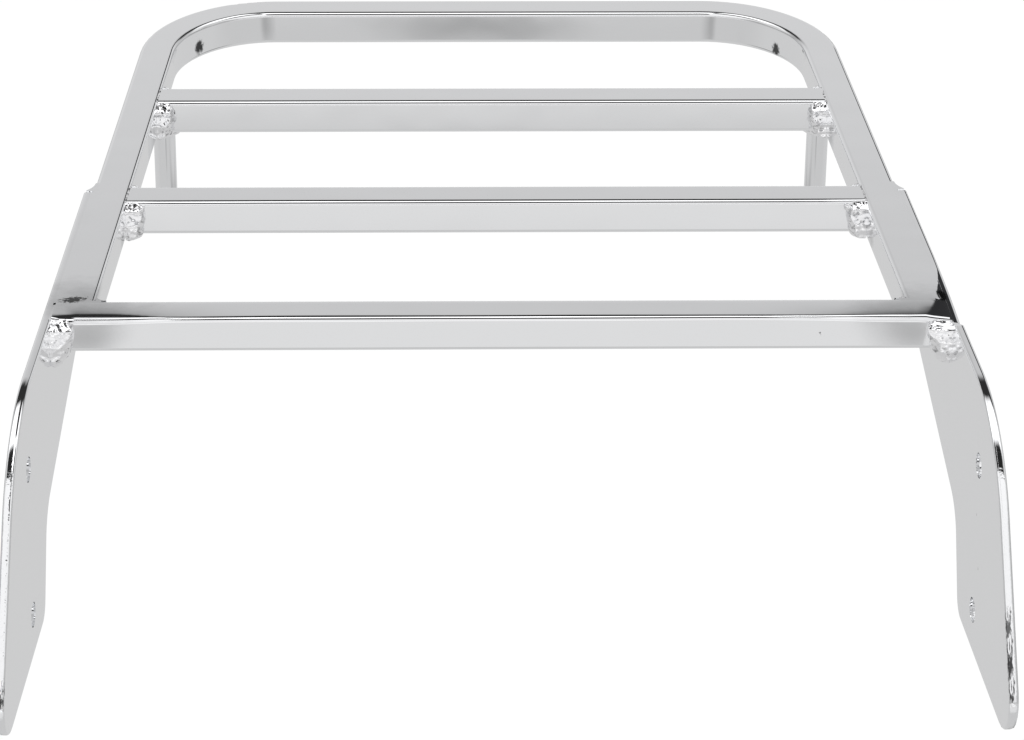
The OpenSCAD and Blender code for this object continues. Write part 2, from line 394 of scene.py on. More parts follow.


# A small ragged dark patch on the left front corner, two wide soft darker and rougher patches over the front
# corners, and a painted dark reflection that darkens the leg's edge beside the ground corner
CORNER_MARKS = (
    Mark((-141.9, 13.4, 0.0), (4.6, 2.0, 2.0), 0.92, turn=9.0, ragged=1.25, soft=0.35),
    Mark((-137.0, 13.0, 0.0), (30.0, 20.0, 6.0), 0.34),
    Mark((137.0, 9.0, 0.0), (28.0, 18.0, 6.0), 0.26),
    Mark((147.0, 15.2, -0.6), (2.0, 4.2, 1.6), 0.96, turn=4.4, ragged=0.1, soft=0.35),
)
# Painted dark reflections on the bends' inner faces, then dimmer painted reflections on the legs beside the
# beads
HOOP_MARKS = CORNER_MARKS + (
    Mark((-110.4, 235.5, -8.0), (2.4, 2.8, 3.6), 0.95, turn=-35.0, ragged=0.4, soft=0.55),
    Mark((110.2, 236.0, -9.6), (2.0, 2.4, 3.2), 0.92, turn=40.0, ragged=0.4, soft=0.55),
    Mark((-123.6, 157.0, -8.0), (3.0, 5.0, 5.5), 0.34, ragged=0.2, soft=0.95),
    Mark((-129.8, 74.5, -8.5), (3.0, 5.0, 5.5), 0.38, ragged=0.2, soft=0.95),
    Mark((123.6, 155.0, -7.5), (3.0, 5.5, 5.5), 0.36, ragged=0.2, soft=0.95),
    Mark((129.8, 73.0, -7.5), (3.0, 6.0, 6.0), 0.34, ragged=0.2, soft=0.95),
)


@dataclass(frozen=True)
class PlateEdge:
    """The straight run of a side plate's near edge, on which the streaks of painted dark reflection lie.

    Attributes:
        start: How far forward of the front bar the run would begin at the top face, in mm.
        lean: How far forward it goes for each mm downwards.
        proud: How far forward of the edge a streak's middle lies, in mm.
        inner_x: X of the plate's inner edge beside the front bar, in mm.
        taper: How far outwards the plate goes for each mm forwards.
        across: A streak's half-widths along X and Y in mm.
        turn: The run's turn about X in degrees.
    """

    start: float = 71.0
    lean: float = 56.0 / 91.0
    proud: float = 0.8
    inner_x: float = 148.9
    taper: float = 0.0767
    across: Span = (1.5, 1.9)
    turn: float = -31.6

    def streak(self, side: Side, drop: float, half: float, depth: float) -> Mark:
        """A streak of painted dark reflection on the edge.

        Args:
            side: The plate's side.
            drop: How far below the top face its middle lies, in mm.
            half: Its half-length in mm.
            depth: How dark it is.

        Returns:
            The mark.
        """
        ahead = self.start + self.lean * drop + self.proud
        out = self.inner_x + self.taper * ahead
        return Mark(
            (side.value * out, -ahead, -drop), (*self.across, half), depth,
            lean=self.turn, ragged=0.75, soft=0.35,
        )


PLATE_EDGE = PlateEdge()
# Streaks of painted dark reflection along the plates' near edges
PLATE_MARKS = CORNER_MARKS + tuple(PLATE_EDGE.streak(*streak) for streak in (
    (Side.LEFT, 73.5, 7.5, 0.95), (Side.LEFT, 78.0, 2.6, 0.96),
    (Side.RIGHT, 54.0, 6.0, 0.85), (Side.RIGHT, 63.5, 9.0, 0.94), (Side.RIGHT, 74.0, 8.0, 0.96),
))


# Finishes


class Effects:
    """The shared effects, each made once."""

    def __init__(self) -> None:
        """Makes them all."""
        self.ripple = make_ripple()
        self.pitting = make_pitting()
        self.mark = make_mark()


@dataclass(frozen=True)
class Plating:
    """Bright plating over polished metal: slightly wavy, finely drawn, with a few specks, and darker marks
    that are mostly painted reflections.

    Attributes:
        name: The material's name.
        tint: The plating's colour.
        speck_tint: The specks' colour.
        painted_dark_tint: What the marks darken it to, the dark of their painted reflections.
        marks: Its darker marks, mostly painted reflections.
        cut_edge: Height of the cut-metal texture on a plate's near edge, in metres.
        cut_facing: The normal's Y between which that texture sets in.
        cut_reach: The scene's Y between which it sets in.
        cut_scale: Scale of its grain.
        roughness: Its middle roughness.
        cloud_scale: Scale of the clouds by which that varies.
        dull_roughness: How much rougher the marks are.
        wave: Height of its long waves, in metres.
        line: Height of its drawn lines, in metres.
        specks: The share of cells with a speck.
        speck_density: How many cells there are to the metre.
        speck_size: A speck's size as a share of its cell.
    """

    name: str = "bright_plate"
    tint: Triple = (0.93, 0.935, 0.945)
    speck_tint: Triple = (0.10, 0.10, 0.11)
    painted_dark_tint: Triple = (0.02, 0.02, 0.02)
    marks: tuple[Mark, ...] = ()
    cut_edge: float = 0.0
    cut_facing: Span = (-0.40, -0.75)
    cut_reach: Span = (-0.140, -0.150)
    cut_scale: float = 260.0
    roughness: float = 0.04
    cloud_scale: float = 60.0
    dull_roughness: float = 0.12
    wave: float = 0.00008
    line: float = 0.0000010
    specks: float = 0.009
    speck_density: float = 190.0
    speck_size: float = 0.10

    def build(self, effects: Effects) -> Finish:
        """Makes the material.

        Args:
            effects: The shared effects.

        Returns:
            The material.
        """
        material, sheet, place = start_material(self.name)
        ripple = effects.ripple.place(sheet, Vector=place, Wave=self.wave, Line=self.line)
        pits = effects.pitting.place(
            sheet, Vector=place, Density=self.speck_density, Share=self.specks, Size=self.speck_size,
        )
        # The marks darken the colour with painted reflections, and make the plating rougher.
        left_bright = sheet.product(1.0, *(mark.put(sheet, place, effects.mark) for mark in self.marks))
        painted_dark = sheet.maths("SUBTRACT", 1.0, left_bright, clamp=True)
        specked = sheet.blend(pits.outputs["Mask"], (*self.tint, 1.0), (*self.speck_tint, 1.0))
        coloured = sheet.blend(painted_dark, specked, (*self.painted_dark_tint, 1.0))
        cloudy = sheet.noise(place, self.cloud_scale, 3.0)
        rough = sheet.total(
            sheet.band(cloudy, 0.3, 0.7, self.roughness * 0.7, self.roughness * 1.5),
            sheet.product(painted_dark, self.dull_roughness),
        )
        height = sheet.total(ripple.outputs["Height"], pits.outputs["Height"])
        if self.cut_edge:
            normal = sheet.add("NewGeometry").outputs["Normal"]
            facing = sheet.add("SeparateXYZ", Vector=normal).outputs["Y"]
            along = sheet.add("SeparateXYZ", Vector=place).outputs["Y"]
            forward = sheet.band(facing, *self.cut_facing)
            cut = sheet.product(forward, sheet.band(along, *self.cut_reach), self.cut_edge)
            grain = sheet.noise(place, self.cut_scale, 3.0, 0.6)
            height = sheet.total(height, sheet.product(cut, grain))
        sheet.cover(coloured, rough, height)
        return material


@dataclass(frozen=True)
class PlatedWeld:
    """Plating over weld metal: lumpy, with painted shade and more roughness in the hollows, and pinholes.

    Attributes:
        name: The material's name.
        tint: The plating's colour.
        hollow_shade_tint: The colour of the painted shade in the hollows.
        pit_tint: The pinholes' colour.
        roughness: Its roughness outside the hollows.
        lump_size: Scale of the lumps' pattern.
        lump_height: The lumps' height in metres.
        pits: The share of cells with a pinhole.
        pit_density: How many cells there are to the metre.
        pit_size: A pinhole's size as a share of its cell.
    """

    name: str = "plated_weld"
    tint: Triple = (0.94, 0.94, 0.95)
    hollow_shade_tint: Triple = (0.30, 0.30, 0.31)
    pit_tint: Triple = (0.03, 0.03, 0.03)
    roughness: float = 0.13
    lump_size: float = 520.0
    lump_height: float = 0.00005
    pits: float = 0.10
    pit_density: float = 430.0
    pit_size: float = 0.36

    def build(self, effects: Effects) -> Finish:
        """Makes the material.

        Args:
            effects: The shared effects.

        Returns:
            The material.
        """
        material, sheet, place = start_material(self.name)
        lumps = sheet.noise(place, self.lump_size, 2.0)
        ripple = effects.ripple.place(sheet, Vector=place, Wave=0.00003, Line=0.000003)
        pits = effects.pitting.place(
            sheet, Vector=place, Density=self.pit_density, Share=self.pits, Size=self.pit_size,
        )
        # Painted shade: the hollows of the lump pattern are darkened in colour, and made rougher.
        hollow = sheet.band(lumps, 0.42, 0.30)
        hollow_shaded = sheet.blend(sheet.product(hollow, 0.6), (*self.tint, 1.0), (*self.hollow_shade_tint, 1.0))
        coloured = sheet.blend(pits.outputs["Mask"], hollow_shaded, (*self.pit_tint, 1.0))
        height = sheet.total(
            sheet.product(lumps, self.lump_height), ripple.outputs["Height"], pits.outputs["Height"],
        )
        rough = sheet.band(hollow, 0.0, 1.0, self.roughness, self.roughness * 1.8)
        sheet.cover(coloured, rough, height)
        return material


# Modelling tools


class Bench:
    """The work bench: it makes pieces with Blender's own modelling operators."""

    JOIN_GAP = 0.002 * MM
    FLAT_ANGLE = math.radians(0.1)

    @staticmethod
    def clear_selection() -> None:
        """Leaves edit mode and deselects everything."""
        if bpy.context.object and bpy.context.object.mode != "OBJECT":
            bpy.ops.object.mode_set(mode="OBJECT")
        bpy.ops.object.select_all(action="DESELECT")

    @classmethod
    def pick(cls, piece: Piece) -> None:
        """Selects one piece alone and makes it active."""
        cls.clear_selection()
        piece.select_set(True)
        bpy.context.view_layer.objects.active = piece

    @classmethod
    def edit(cls, piece: Piece, mode: str = "VERT") -> None:
        """Opens a piece for editing with all of it selected."""
        cls.pick(piece)
        bpy.ops.object.mode_set(mode="EDIT")
        bpy.ops.mesh.select_mode(type=mode)
        bpy.ops.mesh.select_all(action="SELECT")

    @staticmethod
    def close() -> None:
        """Leaves edit mode."""
        bpy.ops.object.mode_set(mode="OBJECT")

    @classmethod
    def copy_of(cls, node: Piece, name: str) -> Piece:
        """Makes a joined-up copy of a CAD node's mesh.

        Args:
            node: The CAD node.
            name: The new piece's name.

        Returns:
            The new piece, its triangles joined and its flats free of slivers.
        """
        piece = bpy.data.objects.new(name, node.data.copy())
        bpy.context.scene.collection.objects.link(piece)
        piece.data.name = name
        cls.edit(piece)
        bpy.ops.mesh.remove_doubles(threshold=cls.JOIN_GAP)
        bpy.ops.mesh.dissolve_degenerate(threshold=cls.JOIN_GAP)
        bpy.ops.mesh.dissolve_limited(angle_limit=cls.FLAT_ANGLE)
        cls.close()
        return piece

    @classmethod
    def modify(cls, piece: Piece, kind: str, **settings: object) -> None:
        """Adds a modifier and applies it.

        Args:
            piece: The piece.
            kind: The modifier's type, such as REMESH.
            **settings: Its settings.
        """
        cls.pick(piece)
        modifier = piece.modifiers.new(kind.lower(), kind)
        for name, value in settings.items():
            setattr(modifier, name, value)
        bpy.ops.object.modifier_apply(modifier=modifier.name)

    @classmethod
    def slice(cls, piece: Piece, places: list[Vector], normal: Vector) -> None:
        """Cuts edges across a piece without parting it.

        Args:
            piece: The piece.
            places: A point on each cut.
            normal: The direction square to the cuts.
        """
        for place in places:
            cls.edit(piece)
            bpy.ops.mesh.bisect(plane_co=place, plane_no=normal, threshold=0.001 * MM)
        cls.close()

    @classmethod
    def smooth(cls, piece: Piece, angle: float = 38.0) -> None:
        """Smooths a piece's shading, keeping its sharp edges sharp and its flats flat."""
        cls.pick(piece)
        bpy.ops.object.shade_smooth_by_angle(angle=math.radians(angle))
        cls.modify(piece, "WEIGHTED_NORMAL", keep_sharp=True, weight=90)

    @staticmethod
    def move_points(piece: Piece, move: Callable[[Vector], Vector]) -> None:
        """Moves each point of a piece, given in mm.

        Args:
            piece: The piece.
            move: Gives a point's new place from its old one.
        """
        for point in piece.data.vertices:
            place = Vector((point.co.x / MM, (point.co.y - FRONT) / MM, (point.co.z - TOP) / MM))
            point.co = rack_point(*move(place))
        piece.data.update()

    @classmethod
    def finish(cls, piece: Piece, material: Finish, slot: Slot, *nodes: str) -> None:
        """Gives a piece its finish and its body, and hides the CAD nodes that it stands for.

        Args:
            piece: The piece.
            material: Its finish.
            slot: The record's slot of that finish; not used.
            *nodes: The CAD nodes that it replaces.
        """
        piece.data.materials.clear()
        piece.data.materials.append(material)
        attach(piece, BODY)
        if nodes:
            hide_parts(*nodes)
        cls.clear_selection()
        log.info("%s: %d faces, for %s", piece.name, len(piece.data.polygons), ", ".join(nodes) or "no node")


@dataclass(frozen=True)
class GroundCorner:
    """The right front corner's ground facet: a flat that falls away outwards and forwards.

    Attributes:
        back: Y at which it begins, in mm.
        back_x: X of its inner edge there.
        sweep: How far that edge comes inwards up to the front bar's front face.
        sweep_power: How late it does so.
        slope: The facet's slope in degrees.
        front_lip: Y in front of which the inner edge runs straight on.
        front_end: Y at which the facet has faded out in front.
        front_run: The length over which it fades out there.
        full_depth: Depth under the top face down to which points go down by the whole facet.
        fade_depth: Depth from which they stay in place.
    """

    back: float = 48.0
    back_x: float = 147.9
    sweep: float = 8.6
    sweep_power: float = 2.95
    slope: float = 10.0
    front_lip: float = -1.0
    front_end: float = -7.0
    front_run: float = 6.0
    full_depth: float = 0.9
    fade_depth: float = 6.0

    def edge(self, y: float) -> float:
        """Where the facet begins on the top face, as X at a given Y in mm: it sweeps in towards the front."""
        return self.back_x - self.sweep * max(0.0, (self.back - y) / self.back) ** self.sweep_power

    def fall(self, place: Vector) -> float:
        """How far the facet lies under the top face at a point, in mm."""
        reach = place.x - self.edge(max(place.y, self.front_lip))
        kept = smooth_step(place.y, self.front_end, self.front_end + self.front_run)
        return max(0.0, reach) * math.tan(math.radians(self.slope)) * kept

    def grind(self, place: Vector) -> Vector:
        """Lowers a point near the top face by the facet, fading out under it."""
        if place.x < 0 or place.z < -self.fade_depth:
            return place
        depth = self.fall(place) * smooth_step(place.z, -self.fade_depth, -self.full_depth)
        return Vector((place.x, place.y, place.z - depth))


RIGHT_CORNER = GroundCorner()


# Sub-assemblies


@dataclass
class FrontBar:
    """The front cross bar, whose top front edge is ground rounder towards its ends.

    Attributes:
        size: The bar's width and height in mm.
        half_length: Half its length.
        edge: Radius of its long edges.
        edge_steps: Faces round each edge.
        stations: Lengths into which it is cut.
        rows: Y of the cuts along it.
        chamfer: Width of the flat that is ground off its top front edge, on each side.
        chamfer_slope: That flat's slope in degrees.
        chamfer_span: The four X between which the flat sets in and ends.
        droop: How far the top's front sinks towards the ends.
        droop_run: Y behind which it doesn't.
        droop_span: The four X between which it sets in and ends.
        uneven: Share by which the edge's radius swells and shrinks along the bar.
        uneven_runs: Lengths of the two waves in which it does.
    """

    size: float = 12.7
    half_length: float = 148.3
    edge: float = 1.6
    edge_steps: int = 8
    stations: int = 110
    rows: Numbers = (2.0, 2.5, 3.2, 4.0, 5.2, 6.5, 8.0, 9.6)
    chamfer: dict[Side, float] = field(default_factory=lambda: {Side.LEFT: 2.9, Side.RIGHT: 1.7})
    chamfer_slope: float = 9.0
    chamfer_span: Numbers = (104.0, 130.0, 145.5, 148.0)
    droop: float = 0.5
    droop_run: float = 11.0
    droop_span: Numbers = (70.0, 138.0, 143.0, 148.0)
    uneven: float = 0.10
    uneven_runs: Span = (21.0, 57.0)

    @staticmethod
    def share(out: float, span: Numbers) -> float:
        """How much of something there is at a distance from the middle, from 0 to 1."""
        return smooth_step(out, *span[:2]) * (1.0 - smooth_step(out, *span[2:]))

    def shape(self, place: Vector) -> Vector:
        """Moves one of the bar's points: the rounder edge, its unevenness and the ground corner.

        Args:
            place: The point, in mm.

        Returns:
            Its new place.
        """
        x, y, z = place
        side = Side.LEFT if x < 0 else Side.RIGHT
        if z >= -self.edge - 0.1:
            out = abs(x)
            first, second = self.uneven_runs
            growth = self.uneven * math.sin(x / first + 1.0) * math.sin(x / second)
            if y <= self.edge + 0.01:
                y, z = y * (1 + growth), z * (1 + growth)
            width = self.chamfer[side] * self.share(out, self.chamfer_span)
            fallen = max(0.0, width - max(0.0, y)) * math.tan(math.radians(self.chamfer_slope))
            sag = self.droop * self.share(out, self.droop_span)
            z -= fallen + sag * max(0.0, 1.0 - y / self.droop_run) ** 2
        return RIGHT_CORNER.grind(Vector((x, y, z)))

    def build(self, material: Finish) -> None:
        """Models the bar from a block with rounded edges, cut into stations.

        Args:
            material: Its finish.
        """
        Bench.clear_selection()
        bpy.ops.mesh.primitive_cube_add(size=1.0, location=rack_point(0, self.size / 2, -self.size / 2))
        bar = bpy.context.object
        bar.name = bar.data.name = "front_bar"
        bar.scale = (2 * self.half_length * MM, self.size * MM, self.size * MM)
        bpy.ops.object.transform_apply(location=True, rotation=True, scale=True)
        Bench.edit(bar, "EDGE")
        bpy.ops.mesh.select_all(action="DESELECT")
        Bench.close()
        for edge in bar.data.edges:
            ends = [bar.data.vertices[i].co for i in edge.vertices]
            edge.select = abs(ends[0].x - ends[1].x) > 0.1
        bpy.ops.object.mode_set(mode="EDIT")
        bpy.ops.mesh.bevel(offset=self.edge * MM, segments=self.edge_steps, profile=0.5)
        Bench.close()
        across = [rack_point(0, y, 0) for y in self.rows]
        Bench.slice(bar, across, Vector((0, 1, 0)))
        step = 2 * self.half_length / self.stations
        along = [rack_point(-self.half_length + step * i, 0, 0) for i in range(1, self.stations)]
        Bench.slice(bar, along, Vector((1, 0, 0)))
        Bench.move_points(bar, self.shape)
        Bench.smooth(bar)
        Bench.finish(bar, material, Slot.PLATING, "front_cross_bar")


@dataclass
class SidePlates:
    """The two curved side plates, with smooth rolled edges; the right one shares the ground corner.

    Attributes:
        nodes: The CAD nodes.
        taper: The plates' turn about Z in degrees.
        seam: X of the seam between plate and leg beside the front bar, in mm.
        rows: Y of the first and last cut across the right plate's corner, and their distance.
        columns: Distances of the lengthwise cuts from the seam.
        levels: Z of the level cuts.
    """

    nodes: dict[str, Piece]
    taper: float = 4.4
    seam: float = 148.3
    rows: Triple = (-7.0, 53.0, 1.0)
    columns: Numbers = (
        -6.0, -4.5, -3.0, -2.2, -1.5, -1.1, -0.7, -0.4, 0.0, 0.45, 0.9, 1.25, 1.6, 2.0, 2.4,
    )
    levels: Numbers = (-0.95, -3.0, -6.0)

    def build(self, material: Finish, weld: Finish) -> None:
        """Makes both plates, and the seam and corner welds that the right one's facet runs over.

        Args:
            material: The plates' finish.
            weld: The ground welds' finish.
        """
        plates = [(f"side_plate_{side.word}", material, Slot.PLATING) for side in Side]
        seams = [(node, weld, Slot.WELD) for node in ("plate_top_weld_right", "front_corner_weld_right")]
        for node, finish, slot in plates + seams:
            piece = Bench.copy_of(self.nodes[node], f"dressed_{node}")
            if node.endswith(Side.RIGHT.word):
                self.grind(piece)
            Bench.smooth(piece)
            Bench.finish(piece, finish, slot, node)

    def grind(self, piece: Piece) -> None:
        """Cuts a piece up near the corner and lowers it there by the facet.

        Args:
            piece: The piece.
        """
        reaches = [point.co.y for point in piece.data.vertices]
        low, high = min(reaches), max(reaches)
        first, last, step = self.rows
        rows = [rack_point(0, first + step * i, 0) for i in range(int((last - first) / step) + 1)]
        Bench.slice(piece, [row for row in rows if low < row.y < high], Vector((0, 1, 0)))
        taper = math.radians(self.taper)
        across = Vector((math.cos(taper), math.sin(taper), 0.0))
        columns = [rack_point(self.seam + out * across.x, out * across.y, 0) for out in self.columns]
        Bench.slice(piece, columns, across)
        Bench.slice(piece, [rack_point(0, 0, z) for z in self.levels], Vector((0, 0, 1)))
        Bench.move_points(piece, RIGHT_CORNER.grind)


@dataclass(frozen=True)
class Bead:
    """One kind of lumpy bead: its CAD node, its extra lumps and how rough it is.

    Attributes:
        node: The CAD node's name without its side.
        lumps: Extra lumps for each side, each a place in mm on the right side and a radius.
        swell: How far the whole bead stands proud of the CAD's, in mm.
        rough: Height of its unevenness, in mm.
        top: The highest that it may stand, in mm from the top face.
        face: Y of the bar's front face, from which the bead's top slopes down, if it does.
        slope: That slope.
        reach: How far its upper part reaches forwards of that face, in mm.
        foot: How much further its lower part does.
        foot_depths: Depths under the top face between which that sets in.
        slope_gap: How far under its highest the slope begins.
    """

    node: str
    lumps: dict[Side, tuple[tuple[float, float, float, float], ...]] = field(default_factory=dict)
    swell: float = 0.05
    rough: float = 0.7
    top: float = -0.15
    face: float | None = None
    slope: float = 0.72
    reach: float = 4.0
    foot: float = 1.4
    foot_depths: Span = (3.0, 8.0)
    slope_gap: float = 0.1

    def held(self, place: Vector) -> Vector:
        """Holds a point under the slope that falls forwards from the bar's face.

        Args:
            place: The point, in mm.

        Returns:
            Its new place.
        """
        shy = self.reach + smooth_step(-place.z, *self.foot_depths) * self.foot
        y = max(place.y, self.face - shy)
        limit = self.top - self.slope_gap - self.slope * max(0.0, self.face - y)
        return Vector((place.x, y, min(place.z, limit)))


@dataclass
class Beads:
    """The lumpy plated beads in the corners and round the posts.

    Attributes:
        nodes: The CAD nodes.
        voxel: The size of the cells in which they are fused, in mm.
        lump_size: The lumps' size in mm.
        grain_size: The grains' size in mm.
        grain_share: The grains' height as a share of the lumps'.
        kinds: The lumpy kinds.
        soft_kinds: The small back welds, which are only softened.
    """

    nodes: dict[str, Piece]
    voxel: float = 0.30
    lump_size: float = 2.6
    grain_size: float = 0.9
    grain_share: float = 0.22
    kinds: tuple[Bead, ...] = (
        Bead(
            "front_bead", face=0.0, lumps={
                Side.LEFT: ((144.6, -3.8, -3.0, 3.2), (147.2, -4.0, -6.5, 2.4), (147.6, -3.0, -14.2, 2.0)),
                Side.RIGHT: (
                    (144.0, -3.8, -3.0, 3.4), (147.6, -4.4, -7.0, 2.2), (148.0, -3.4, -13.0, 2.2),
                    (150.6, -4.6, -15.4, 0.9),
                ),
            },
        ),
        Bead(
            "middle_bead", face=86.0, reach=2.9, lumps={
                Side.LEFT: ((126.3, 84.4, -2.6, 2.3), (128.6, 84.0, -3.0, 1.8), (123.8, 85.2, -2.2, 1.3)),
                Side.RIGHT: ((125.6, 84.6, -2.8, 2.1), (128.3, 84.0, -2.6, 2.1), (122.6, 85.4, -2.2, 1.2)),
            },
        ),
        Bead(
            "rear_bead", face=168.5, reach=3.4, lumps={
                Side.LEFT: ((119.8, 166.8, -2.6, 2.3), (122.2, 166.6, -2.8, 1.9)),
                Side.RIGHT: ((119.4, 166.8, -2.6, 2.2), (121.9, 166.4, -3.2, 2.0)),
            },
        ),
        Bead("post_weld", swell=0.35, rough=0.9, top=-12.0),
    )
    soft_kinds: tuple[Bead, ...] = (
        Bead("middle_back_weld", rough=0.2, top=-0.02),
        Bead("rear_back_weld", rough=0.2, top=-0.02),
    )

    def build(self, material: Finish, ground: Finish) -> None:
        """Makes every bead on both sides.

        Args:
            material: The lumpy beads' finish.
            ground: The small back welds' finish.
        """
        coarse = self.unevenness("bead_lumps", self.lump_size)
        fine = self.unevenness("bead_grains", self.grain_size)
        for kinds, finish in ((self.kinds, material), (self.soft_kinds, ground)):
            for kind in kinds:
                for side in Side:
                    self.build_bead(kind, side, coarse, fine, finish)

    @staticmethod
    def unevenness(name: str, size: float) -> bpy.types.Texture:
        """Makes a cloud pattern.

        Args:
            name: Its name.
            size: The clouds' size in mm.

        Returns:
            The pattern.
        """
        texture = bpy.data.textures.new(name, "CLOUDS")
        texture.noise_scale = size * MM
        texture.noise_depth = 1
        return texture

    def build_bead(
        self, kind: Bead, side: Side, coarse: bpy.types.Texture, fine: bpy.types.Texture, material: Finish,
    ) -> None:
        """Models one bead: the filled corner and its lumps are fused, roughened and held under the top.

        Args:
            kind: The bead's kind.
            side: Its side.
            coarse: The lumps' pattern.
            fine: The grains' pattern.
            material: Its finish.
        """
        node = f"{kind.node}_{side.word}"
        bead = Bench.copy_of(self.nodes[node], f"lumpy_{node}")
        lumps = [bead]
        for x, y, z, radius in kind.lumps.get(side, ()):
            Bench.clear_selection()
            bpy.ops.mesh.primitive_ico_sphere_add(
                subdivisions=3, radius=radius * MM, location=rack_point(side.value * x, y, z),
            )
            lump = bpy.context.object
            bpy.ops.object.transform_apply(location=True, rotation=True, scale=True)
            lumps.append(lump)
        Bench.clear_selection()
        for lump in lumps:
            lump.select_set(True)
        bpy.context.view_layer.objects.active = bead
        if len(lumps) > 1:
            bpy.ops.object.join()
        Bench.modify(bead, "REMESH", mode="VOXEL", voxel_size=self.voxel * MM)
        Bench.modify(bead, "SMOOTH", factor=0.5, iterations=4)
        if kind.face is not None:
            Bench.move_points(bead, kind.held)
        grainy = kind.rough * self.grain_share
        for pattern, height, swell in ((coarse, kind.rough, kind.swell), (fine, grainy, 0.0)):
            Bench.modify(
                bead, "DISPLACE", texture=pattern, texture_coords="LOCAL", strength=height * MM,
                mid_level=0.5 - swell / height,
            )
        Bench.modify(bead, "SMOOTH", factor=0.4, iterations=1)
        Bench.move_points(bead, lambda place: Vector((place.x, place.y, min(place.z, kind.top))))
        Bench.move_points(bead, RIGHT_CORNER.grind)
        Bench.pick(bead)
        bpy.ops.object.shade_smooth()
        Bench.finish(bead, material, Slot.WELD, node)


@dataclass
class CarriedNodes:
    """The CAD nodes whose shapes are right, which only need their finish."""

    nodes: dict[str, Piece]

    def build(self, plating: Finish, hoop: Finish, weld: Finish) -> None:
        """Gives every node its finish.

        Args:
            plating: The bars' and posts' finish.
            hoop: The hoop's finish.
            weld: The ground welds' finish.
        """
        for name, node in self.nodes.items():
            node.data.materials.clear()
            ground = "weld" in name or "stitch" in name or "bead" in name
            node.data.materials.append(weld if ground else hoop if name == "hoop" else plating)
        log.info("carried nodes: %d", len(self.nodes))


# Studio


@dataclass(frozen=True)
class Spot:
    """A soft oval of painted shade on the floor, which the plating mirrors: its middle, its half-lengths and
    how much darker its middle is.
    """

    centre: Span
    size: Span
    depth: float

    def put(self, sheet: NodeSheet, x: object, y: object) -> Node:
        """Adds the spot to the floor's sheet.

        Args:
            sheet: The floor's sheet.
            x: The floor's X socket.
            y: The floor's Y socket.

        Returns:
            The factor on the floor's grey.
        """
        across = sheet.maths("DIVIDE", sheet.maths("SUBTRACT", x, self.centre[0]), self.size[0])
        along = sheet.maths("DIVIDE", sheet.maths("SUBTRACT", y, self.centre[1]), self.size[1])
        square = sheet.total(sheet.product(across, across), sheet.product(along, along))
        return sheet.band(sheet.maths("SQRT", square), 0.1, 1.3, 1.0 - self.depth, 1.0)


